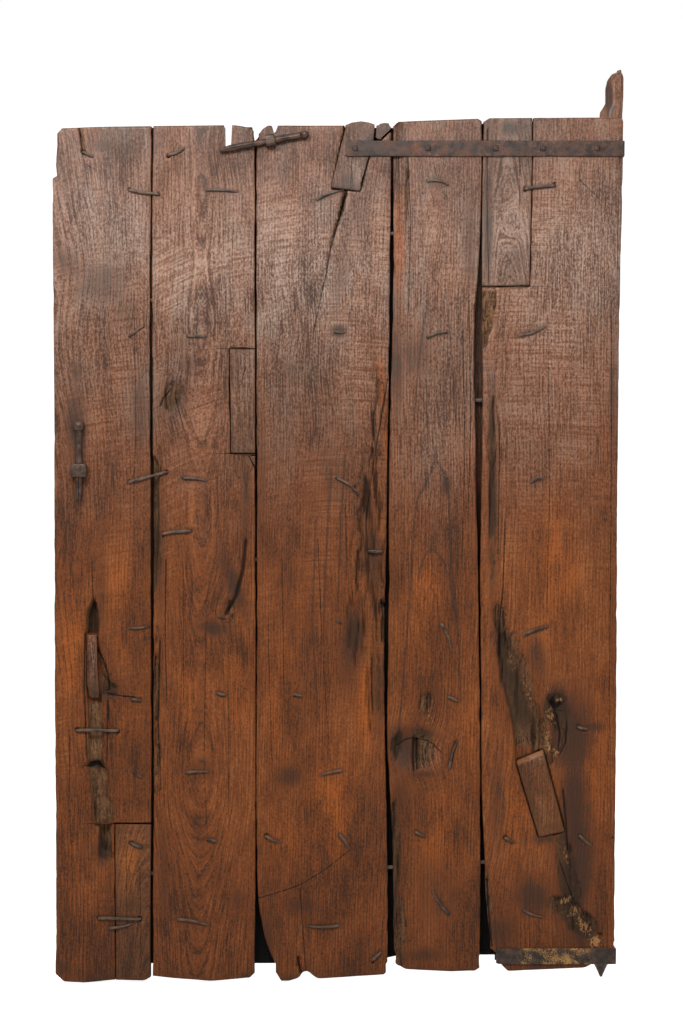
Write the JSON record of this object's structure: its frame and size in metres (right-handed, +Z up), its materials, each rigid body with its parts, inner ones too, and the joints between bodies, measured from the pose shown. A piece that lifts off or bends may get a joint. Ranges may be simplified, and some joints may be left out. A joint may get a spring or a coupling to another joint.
{
  "type": "pivot-hung plank door leaf",
  "caption": "Weathered hardwood door leaf of wide lapped planks on nailed ledges, with let-in patches, forged straps and clenched nails, hung on a wooden pintle and an iron spike.",
  "frame": {"origin": "tip of the iron spike under the pivot plank's foot, where it bears in its socket", "axes": "+Z up the leaf, +X across the leaf towards the pivot edge, +Y from the face to the ledges on the back"},
  "size_m": [1.2591, 0.1193, 2.0105],
  "materials": {
    "plank_wood": "waxed and worn",
    "patch_wood": "weathered",
    "ledge_wood": "dry, unwaxed",
    "nail_iron": "forged, rusted brown",
    "strap_iron": "forged, pitted",
    "forged_iron": "forged, worn bright"
  },
  "bodies": {
    "root": {"closing_plank": "plank_wood", "second_plank": "plank_wood", "middle_plank": "plank_wood", "fourth_plank": "plank_wood", "pivot_plank": "plank_wood", "foot_patch": "patch_wood", "edge_patch": "patch_wood", "edge_wedge": "patch_wood", "splayed_patch": "patch_wood", "corner_splinter": "patch_wood", "head_patch": "patch_wood", "inlay_block": "patch_wood", "split_filler": "patch_wood", "ledge_1": "ledge_wood", "ledge_2": "ledge_wood", "ledge_3": "ledge_wood", "ledge_4": "ledge_wood", "ledge_5": "ledge_wood", "ledge_6": "ledge_wood", "ledge_nails_1": "nail_iron", "ledge_nails_2": "nail_iron", "ledge_nails_3": "nail_iron", "ledge_nails_4": "nail_iron", "ledge_nails_5": "nail_iron", "ledge_nails_6": "nail_iron", "joint_staples": "nail_iron", "short_nails": "nail_iron", "edge_dowels": "nail_iron", "head_strap_nails": "nail_iron", "foot_strap_nails": "nail_iron", "head_strap": "strap_iron", "foot_strap": "strap_iron", "lower_pivot": "forged_iron", "latch_pin": "forged_iron", "latch_eye": "forged_iron", "head_pin": "forged_iron", "head_eye": "forged_iron"}
  },
  "joints": []
}
